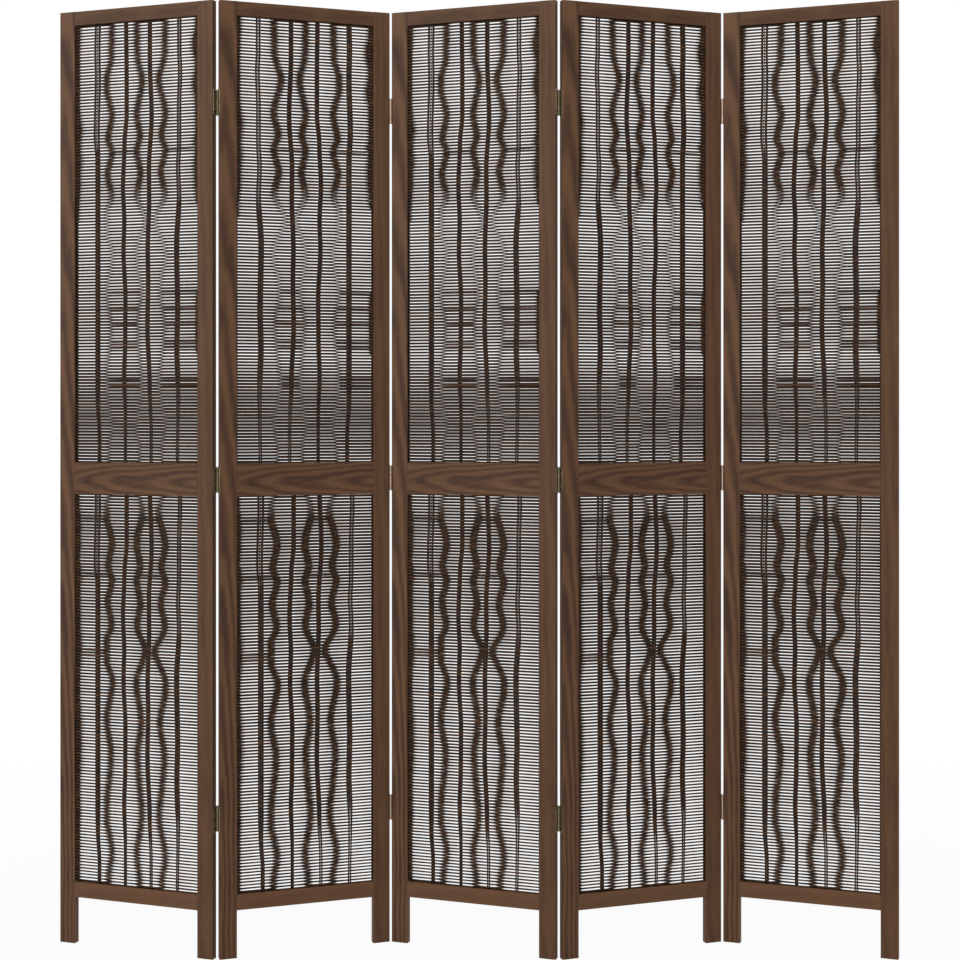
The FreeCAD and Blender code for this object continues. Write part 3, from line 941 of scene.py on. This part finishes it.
@dataclass
class WovenMat:
    """One woven mat: level strands that pass in turn before and behind upright rods.

    Attributes:
        sizes: sizes of the panels.
        place: the mat's panel.
        opening: which opening it fills.
        pitch: mean spacing of the strands, half the spacing of the see-through rows.
        strand_depth: depth of a strand, front to back.
        reach: distance of a strand's middle from the mat's middle where it passes a rod.
        tuck: how far the strands go into the stiles' grooves.
        edge_room: least distance from a stile to a crossing that can be seen, for the side rod.
        bends: distance in which a strand's depth turns over at each crossing.
        push_from: number of the group of rods that each inner crossing leans towards, from nought.
        push_way: side of that group on which the crossing lies, 1 being the right.
        lean: how much further each inner crossing leans than the cloth's table says.
        most_lean: how far each inner crossing leans at most.
        still: distance from a crossing up to which an open weave's lift is nought.
        turn_room: distance at which the lift of a weave that stays apart has turned over.
        open_room: how much further that is in an open weave.
        missed_room: height that a missed strand changes, in pitches.
        flank: distances from a crossing where its flank starts and ends.
        edge_swell: how much thicker a strand is past the crossing beside a stile.
        edge_swell_room: distance in which it gets so.
        flank_swell: how much thicker it is on the flank of an inner crossing.
        missed_swell: how much thicker it is beside a missed strand.
        unevenness: share by which the strands differ in height.
        open_unevenness: how much more they differ in an open weave.
        drift: height of the slow waves along a strand.
        drift_spread: what the sum of these waves is divided by.
        drift_lengths: lengths of the waves over tau.
        ring_gap: least distance between two rings.
        side_count: sides of a strand.
        rod_depth: half the depth of a rod.
        groups: the groups of rods.
        side_gap: free space between a side rod and the stile.
        side_radius: half the width of a side rod.
        groove_depth: how far the rods go into the rails' grooves.
        rod_ring_count: rings of a rod.
        rod_side_count: sides of a rod.
        strand_colours: deepest, mean and thinnest stain of the strands.
        rod_colours: the same of the rods.
    """

    sizes: PanelSizes
    place: PanelPlace
    opening: Opening
    pitch: float = 2.775
    strand_depth: float = 2.0
    reach: float = 2.65
    tuck: float = 4.0
    edge_room: float = 6.5
    bends: tuple[float, ...] = (4.0, 9.0, 9.0, 9.0, 4.0)
    push_from: tuple[int, ...] = (0, 2, 2)
    push_way: tuple[int, ...] = (1, -1, 1)
    lean: tuple[float, ...] = (0.09, -0.05, 0.04)
    most_lean: tuple[float, ...] = (0.52, 0.85, 0.85)
    still: float = 2.4
    turn_room: float = 5.0
    open_room: float = 5.5
    missed_room: float = 1.1
    flank: tuple[float, float] = (4.4, 9.6)
    edge_swell: float = 0.45
    edge_swell_room: float = 4.0
    flank_swell: float = 0.21
    missed_swell: float = 0.24
    unevenness: float = 0.02
    open_unevenness: float = 0.03
    drift: float = 0.08
    drift_spread: float = 1.7
    drift_lengths: tuple[float, ...] = (21.0, 37.0, 63.0)
    ring_gap: float = 0.2
    side_count: int = 6
    rod_depth: float = 1.6
    groups: tuple[RodGroup, ...] = ROD_GROUPS
    side_gap: float = 0.4
    side_radius: float = 1.0
    groove_depth: float = 4.5
    rod_ring_count: int = 80
    rod_side_count: int = 10
    strand_colours: tuple[str, str, str] = ("24170E", "3F2B1A", "5E3F26")
    rod_colours: tuple[str, str, str] = ("281B13", "3B2A1E", "543A28")

    @property
    def weaving(self) -> Weaving:
        """How this mat was woven."""
        return UPPER_WEAVING if self.opening is Opening.UPPER else LOWER_WEAVING

    @property
    def mirrored(self) -> bool:
        """Tells whether this mat is turned round, as every second upper mat is."""
        return self.opening is Opening.UPPER and self.place.fold is Fold.FORWARD_LEFT

    @property
    def strand_count(self) -> int:
        """Number of strands, from edge to edge of the opening."""
        low, high = self.sizes.opening(self.opening)
        return int((high - low) / self.pitch) + 1

    @property
    def rod_count(self) -> int:
        """Number of rods, with one at each stile."""
        return 3 * len(self.groups) + 2

    @property
    def ring_steps(self) -> np.ndarray:
        """Places of the rings round a crossing: on it, and at the start, middle and end of both flanks."""
        start, end = self.flank
        return np.array([-end, -(start + end) / 2, -start, 0.0, start, (start + end) / 2, end])

    def crossings(self, level: np.ndarray) -> np.ndarray:
        """Places where the strands cross from one side of the rods to the other.

        One is beside each stile and one between every two groups of rods. A push of p moves the inner ones
        from the middle between two groups to the share arccos(p) / pi of the way.

        Args:
            level: heights of the strands, shaped (strands, 1).

        Returns:
            Distances from the left stile, shaped (strands, crossings).
        """
        weaving = self.weaving
        width = self.sizes.opening_width
        rods = np.array([group.share for group in self.groups]) * width
        push = eased(CROSSING_PUSH, level - weaving.start) + np.array(self.lean)
        share = np.arccos(np.minimum(push, self.most_lean)) / math.pi
        way = np.array(self.push_from) + np.array(self.push_way) * share
        inner = np.interp(way, np.arange(rods.size), rods)
        near, far = weaving.left_edge, weaving.right_edge
        near, far = (far, near) if self.mirrored else (near, far)
        return np.concatenate((eased(near, level), inner, width - eased(far, level)), axis=1)

    def ring_places(self, crossings: np.ndarray) -> np.ndarray:
        """Places of the rings along the strands.

        They stand at the strand's ends and at the groups of rods, and close at the crossings. Those that
        would fall past an end are moved back to it, a small gap apart.

        Args:
            crossings: places of the crossings, shaped (strands, crossings).

        Returns:
            Distances from the left stile, shaped (strands, rings).
        """
        width = self.sizes.opening_width
        count = len(crossings)
        fixed = [-self.tuck, *(group.share * width for group in self.groups), width + self.tuck]
        near = (crossings[:, :, None] + self.ring_steps).reshape(count, -1)
        along = np.concatenate((np.broadcast_to(fixed, (count, len(fixed))), near), axis=1)
        order = np.arange(along.shape[1])
        return np.clip(np.sort(along, axis=1), order * self.ring_gap - self.tuck,
                       width + self.tuck - order[::-1] * self.ring_gap)

    def lay(self, level: np.ndarray, along: np.ndarray, crossings: np.ndarray,
            openness: np.ndarray) -> tuple[np.ndarray, np.ndarray]:
        """Shares of the strands' lift, as the product of the turns at the crossings.

        Past the crossing beside a stile the lift stays nought, and beside a missed strand it goes back to
        nought, by a bell curve of the height.

        Args:
            level: heights of the strands, shaped (strands, 1).
            along: places of the rings, shaped (strands, rings).
            crossings: places of the crossings, shaped (strands, crossings).
            openness: openness of the weave at each strand, shaped (strands, 1).

        Returns:
            Shares of the lift from -1 to 1, and how far a missed strand shuts the row, both shaped
            (strands, rings).
        """
        weaving = self.weaving
        still = self.still * openness[..., None]
        full = self.turn_room + self.open_room * openness[..., None]
        turns = turn_over(along[:, :, None] - crossings[:, None, :], still, full)
        turns[..., 0] = np.maximum(turns[..., 0], 0)
        turns[..., -1] = np.minimum(turns[..., -1], 0)
        laid = -np.prod(-turns, axis=2)
        off = (level - np.array(weaving.missed)) / (self.missed_room * self.pitch)
        missed = np.exp(-np.square(off)).max(axis=1)
        bay = -laid if self.mirrored else laid
        shut = missed[:, None] * np.clip(-bay * weaving.lift, 0, 1)
        return laid * (1 - shut), shut

    def swell(self, along: np.ndarray, swaps: np.ndarray, openness: np.ndarray,
              shut: np.ndarray) -> np.ndarray:
        """Shares of their height that the strands have where they close the mat.

        They swell past the crossings beside the stiles, on the flanks of the inner crossings and beside a
        missed strand.

        Args:
            along: places of the rings, shaped (strands, rings).
            swaps: places where the strands change sides, shaped (strands, crossings).
            openness: openness of the weave at each strand, shaped (strands, 1).
            shut: how far a missed strand shuts the row, shaped (strands, rings).

        Returns:
            The shares, from 1 up, shaped (strands, rings).
        """
        start, end = self.flank
        past = np.maximum(swaps[:, :1] - along, along - swaps[:, -1:])
        away = np.abs(along[:, :, None] - swaps[:, None, 1:-1]).min(axis=2)
        flank = smooth_step(away / start) * smooth_step((end - away) / (end - start)) * openness
        at_edge = self.edge_swell * smooth_step(past / self.edge_swell_room)
        return 1 + at_edge + self.flank_swell * flank + self.missed_swell * shut

    def strand_rings(self) -> np.ndarray:
        """Rings of all strands.

        A strand passes the rods in turn before and behind them, and its neighbours pass them the other way.
        With d the distance from a crossing, the strand's depth is the reach times the product of
        tanh(d / bend) over the crossings. Its lift is half the pitch times the pairing and its share, so that
        two neighbours lie behind each other at the rods and apart at the crossings. A ring is an ellipse in
        the upright plane.

        Returns:
            Points in metres, shaped (strands, rings, sides, 3).
        """
        weaving = self.weaving
        random = np.random.default_rng(weaving.seed)
        low, high = self.sizes.opening(self.opening)
        width = self.sizes.opening_width
        count = self.strand_count
        number = np.arange(count)[:, None]
        level = (low + high) / 2 + (number - (count - 1) / 2) * self.pitch
        openness = eased(weaving.openness, level)
        crossings = self.crossings(level)
        along = self.ring_places(crossings)

        hidden = (crossings < -self.tuck) | (crossings > width + self.tuck)
        swaps = np.where(hidden, crossings, np.clip(crossings, self.edge_room, width - self.edge_room))
        side = -np.prod(-np.tanh((along[:, :, None] - swaps[:, None, :]) / np.array(self.bends)), axis=2)
        laid, shut = self.lay(level, along, crossings, openness)
        turned = np.where(number % 2, 1.0, -1.0)
        lift = weaving.lift * turned * eased(weaving.pairing, level) * laid * self.pitch / 2
        waves = random.uniform(0, math.tau, (len(self.drift_lengths), count, 1))
        drift = sum(np.sin(along / length + wave) for length, wave in zip(self.drift_lengths, waves))
        middle_z = level + lift + self.drift * (drift / self.drift_spread)
        middle_y = self.sizes.thickness / 2 - self.reach * turned * side

        angle = math.tau * (np.arange(self.side_count) + 0.5) / self.side_count
        most_uneven = self.unevenness + self.open_unevenness * openness
        uneven = 1 + random.uniform(-1, 1, (count, 1)) * most_uneven
        half_height = eased(weaving.height, level) / 2 * uneven * self.swell(along, swaps, openness, shut)
        y = middle_y[..., None] + self.strand_depth / 2 * np.cos(angle)
        z = middle_z[..., None] + half_height[..., None] * np.sin(angle)
        across = width - along if self.mirrored else along
        x = np.broadcast_to(self.sizes.stile_width + across[..., None], y.shape)
        rings = self.place.to_row(np.stack((x, y, z), axis=-1))
        return rings[:, ::-1] if self.mirrored else rings

    def rod_rings(self) -> np.ndarray:
        """Rings of all rods: ellipses about lines that sway to the left and right as they rise.

        Returns:
            Points in metres, shaped (rods, rings, sides, 3).
        """
        low, high = self.sizes.opening(self.opening)
        width = self.sizes.opening_width
        height = np.linspace(low - self.groove_depth, high + self.groove_depth, self.rod_ring_count)
        cloth = height - self.weaving.start
        loose = np.array([eased(group.loosening, cloth) * (not (self.mirrored and group.firm_turned))
                          for group in self.groups])
        close_sizes = np.array([group.close for group in self.groups]).T[:, :, None]
        loose_sizes = np.array([group.loose for group in self.groups]).T[:, :, None]
        spacing, outer, inner = (close_sizes * (1 - loose) + loose_sizes * loose) * eased(ROD_TAPER, cloth)
        middle = np.array([group.share * width + eased(group.sway, cloth) for group in self.groups])
        middle = width - middle if self.mirrored else middle
        grouped_x = np.stack((middle - spacing, middle, middle + spacing), axis=1).reshape(-1, height.size)
        grouped_radius = np.stack((outer, inner, outer), axis=1).reshape(-1, height.size)
        side = self.side_gap + self.side_radius
        side_x = np.broadcast_to([[side], [width - side]], (2, height.size))
        middle_x = np.concatenate((grouped_x, side_x))
        radius = np.concatenate((grouped_radius, np.full(side_x.shape, self.side_radius)))

        angle = math.tau * np.arange(self.rod_side_count) / self.rod_side_count
        depth = np.minimum(radius, self.rod_depth)
        x = self.sizes.stile_width + middle_x[..., None] + radius[..., None] * np.cos(angle)
        y = self.sizes.thickness / 2 + depth[..., None] * np.sin(angle)
        z = np.broadcast_to(height[None, :, None], x.shape)
        return self.place.to_row(np.stack((x, y, z), axis=-1))

    def finishes(self) -> tuple[bpy.types.Material, bpy.types.Material]:
        """Makes the finishes that all mats of this opening share.

        Returns:
            Materials of the strands and of the rods.
        """
        kind = self.opening.value
        strands = StainedStrand(f"stained_willow_{kind}", self.strand_colours, self.strand_count)
        rods = StainedStrand(f"stained_rod_{kind}", self.rod_colours, self.rod_count)
        return strands.build(), rods.build()

    def build(self, strand_finish: bpy.types.Material, rod_finish: bpy.types.Material) -> None:
        """Makes the mat's strands and rods and puts them in the place of its plain solids.

        Args:
            strand_finish: material of the strands.
            rod_finish: material of the rods.
        """
        for kind, rings, material, slot, node in (
            ("strands", self.strand_rings(), strand_finish, "woven_strands", "wefts"),
            ("rods", self.rod_rings(), rod_finish, "stake_rods", "stakes"),
        ):
            name = self.place.node(f"{self.opening.value}_{kind}")
            piece = add_piece(name, tube_mesh(name, rings))
            dress(piece, material)
            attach(piece, self.place.body)
            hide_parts(self.place.node(f"{self.opening.value}_{node}"))
            LOG.info("%s: %d pieces of %d rings", name, rings.shape[0], rings.shape[1])


@dataclass(frozen=True)
class Hinges:
    """Leaves, screws and pins of all joint lines, which keep their solids and get their finishes.

    Attributes:
        finishes: finish of each kind of piece, by the ending of its nodes' names.
    """

    finishes: tuple[tuple[str, PatinatedMetal], ...] = (
        ("hinge_leaves", BRONZED_STEEL),
        ("hinge_screws", BROWNED_SCREW),
        ("pins", PIN_STEEL),
    )

    def dress(self, nodes: dict[str, bpy.types.Object]) -> None:
        """Dresses each hinge piece by its kind.

        Args:
            nodes: the frame's nodes by name.
        """
        for ending, finish in self.finishes:
            material = finish.build()
            for name, node in nodes.items():
                if name.endswith(ending):
                    dress(node, material)
                    LOG.info("%s: %s", name, material.name)


@dataclass(frozen=True)
class SoftLamp:
    """A square soft lamp.

    Attributes:
        name: the lamp's name.
        place: its place in metres.
        size: its width in metres.
        power: its power in watts.
    """

    name: str
    place: Place
    size: float
    power: float


@dataclass
class Studio:
    """Camera, soft lamps, white surroundings and a pale floor.

    Attributes:
        eye: camera's place in metres.
        lens: focal length in millimetres.
        sensor: width of the camera's sensor in millimetres.
        shift: how far the frame lies above the level line of sight, as a share of its width.
        sight: how far the camera sees, in metres.
        ambient: strength of the even light from all round.
        lamps: the soft lamps.
        lamp_aim: what the lamps point at, in metres.
        floor_half: half the width of the floor in metres.
        floor_drop: how far the floor lies below the legs, in millimetres.
        floor_tone: share of the light that the floor's own surface gives back.
        floor_fade: distances from the middle between which the floor turns to plain white, in metres.
        floor_white: share of plain white in the floor near the screen.
    """

    eye: Place = (0.01172, -3.1912, 0.9824)
    lens: float = 66.325
    sensor: float = 36.0
    shift: float = -0.0781
    sight: float = 200.0
    ambient: float = 0.3
    lamps: tuple[SoftLamp, ...] = (
        SoftLamp("key_lamp", place=(-5.0, -5.0, 3.1), size=3.1, power=168.0),
        SoftLamp("fill_lamp", place=(2.6, -4.2, 1.8), size=2.5, power=22.0),
        SoftLamp("top_lamp", place=(0.0, -0.8, 4.2), size=2.5, power=24.0),
    )
    lamp_aim: Place = (0.0, 0.0, 0.85)
    floor_half: float = 40.0
    floor_drop: float = 0.2
    floor_tone: float = 0.9
    floor_fade: tuple[float, float] = (0.7, 2.4)
    floor_white: float = 0.95

    def build(self) -> None:
        """Sets up the whole studio."""
        self.place_camera()
        self.hang_lamps()
        self.light_surroundings()
        self.lay_floor()
        bpy.context.scene.view_settings.view_transform = "Standard"

    def place_camera(self) -> None:
        """Puts a level camera at the eye, looking along +Y."""
        camera = bpy.data.objects.new("camera", bpy.data.cameras.new("camera"))
        camera.location = self.eye
        camera.rotation_euler = (math.pi / 2, 0, 0)
        camera.data.sensor_width = self.sensor
        camera.data.lens = self.lens
        camera.data.shift_y = self.shift
        camera.data.clip_end = self.sight
        bpy.context.scene.collection.objects.link(camera)
        bpy.context.scene.camera = camera

    def hang_lamps(self) -> None:
        """Hangs the lamps and points them at the middle of the screen."""
        for lamp in self.lamps:
            data = bpy.data.lights.new(lamp.name, "AREA")
            data.size = lamp.size
            data.energy = lamp.power
            hung = bpy.data.objects.new(lamp.name, data)
            hung.location = lamp.place
            aim = Vector(self.lamp_aim) - Vector(lamp.place)
            hung.rotation_euler = aim.to_track_quat("-Z", "Y").to_euler()
            bpy.context.scene.collection.objects.link(hung)

    @staticmethod
    def seen_directly(tree: bpy.types.NodeTree) -> bpy.types.NodeSocket:
        """Adds a value that is 1 for rays from the camera, from a reflection or through glass.

        Args:
            tree: node tree to add to.

        Returns:
            The value, which is 0 for other rays.
        """
        path = add_node(tree, "ShaderNodeLightPath")
        mirrored = add_node(tree, "ShaderNodeMath", {"operation": "MAXIMUM"},
                            _0=path.outputs["Is Camera Ray"], _1=path.outputs["Is Glossy Ray"])
        return add_node(tree, "ShaderNodeMath", {"operation": "MAXIMUM"}, _0=mirrored.outputs[0],
                        _1=path.outputs["Is Transmission Ray"]).outputs[0]

    def light_surroundings(self) -> None:
        """Lights the scene evenly from all round, and shows white where the surroundings are seen."""
        world = bpy.data.worlds.new("surroundings")
        world.use_nodes = True
        tree = world.node_tree
        tree.nodes.clear()
        strength = add_node(tree, "ShaderNodeMapRange", Value=self.seen_directly(tree), To_Min=self.ambient,
                            To_Max=1.0)
        light = add_node(tree, "ShaderNodeBackground", Color=(1, 1, 1, 1), Strength=strength.outputs[0])
        add_node(tree, "ShaderNodeOutputWorld", Surface=light.outputs[0])
        bpy.context.scene.world = world

    def lay_floor(self) -> None:
        """Lays a wide pale floor that shows nearly white and keeps a soft shadow."""
        half = self.floor_half
        corners = np.array([[-half, -half, 0], [half, -half, 0], [half, half, 0], [-half, half, 0]])
        mesh = bpy.data.meshes.new("floor")
        mesh.from_pydata(corners.tolist(), [], [(0, 1, 2, 3)])
        floor = add_piece("floor", mesh)
        floor.location.z = -self.floor_drop * MM
        dress(floor, self.paint_floor())

    def paint_floor(self) -> bpy.types.Material:
        """Makes the floor's matte white paint, which takes a little of the screen's shadow.

        Returns:
            The material.
        """
        material, tree = start_material("matte_white_floor")
        coords = add_node(tree, "ShaderNodeTexCoord").outputs["Object"]
        away = add_node(tree, "ShaderNodeVectorMath", {"operation": "LENGTH"}, _0=coords)
        fade = add_node(tree, "ShaderNodeMapRange", {"interpolation_type": "SMOOTHSTEP"},
                        Value=away.outputs["Value"], From_Min=self.floor_fade[0], From_Max=self.floor_fade[1],
                        To_Min=self.floor_white, To_Max=1.0)
        share = add_node(tree, "ShaderNodeMath", {"operation": "MULTIPLY"}, _0=self.seen_directly(tree),
                         _1=fade.outputs[0])
        matte = add_node(tree, "ShaderNodeBsdfDiffuse", Color=(*3 * (self.floor_tone,), 1))
        white = add_node(tree, "ShaderNodeEmission", Color=(1, 1, 1, 1), Strength=1.0)
        mixed = add_node(tree, "ShaderNodeMixShader", _0=share.outputs[0], _1=matte.outputs[0],
                         _2=white.outputs[0])
        add_node(tree, "ShaderNodeOutputMaterial", Surface=mixed.outputs[0])
        return material


def check_places(sizes: PanelSizes, places: list[PanelPlace]) -> None:
    """Stops the script if a panel's place doesn't match its left stile.

    Args:
        sizes: sizes of the panels.
        places: the panels' places.
    """
    for place in places:
        outline = np.array([[x, y, 0.0] for x in (0, sizes.stile_width) for y in (0, sizes.thickness)])
        corners = place.to_row(outline)
        low, high = (np.array(corner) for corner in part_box(place.node("left_stile")))
        off = max(np.abs(corners.min(axis=0) - low)[:2].max(), np.abs(corners.max(axis=0) - high)[:2].max())
        if off > PLACE_TOLERANCE * MM:
            raise ValueError(f"panel {place.number} stands {off / MM:.2f} mm from its solids")


def main() -> None:
    """Builds the studio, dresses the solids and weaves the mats."""
    logging.basicConfig(level=logging.INFO, format="%(name)s: %(message)s")
    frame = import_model()
    nodes = frame["nodes"]
    Studio().build()

    sizes = PanelSizes()
    places = stand_panels(sizes)
    check_places(sizes, places)
    finishes = {opening: WovenMat(sizes, places[0], opening).finishes() for opening in Opening}
    for place in places:
        WoodenFrame(place).dress(nodes)
        for opening in Opening:
            WovenMat(sizes, place, opening).build(*finishes[opening])
    Hinges().dress(nodes)


if __name__ == "__main__":
    main()
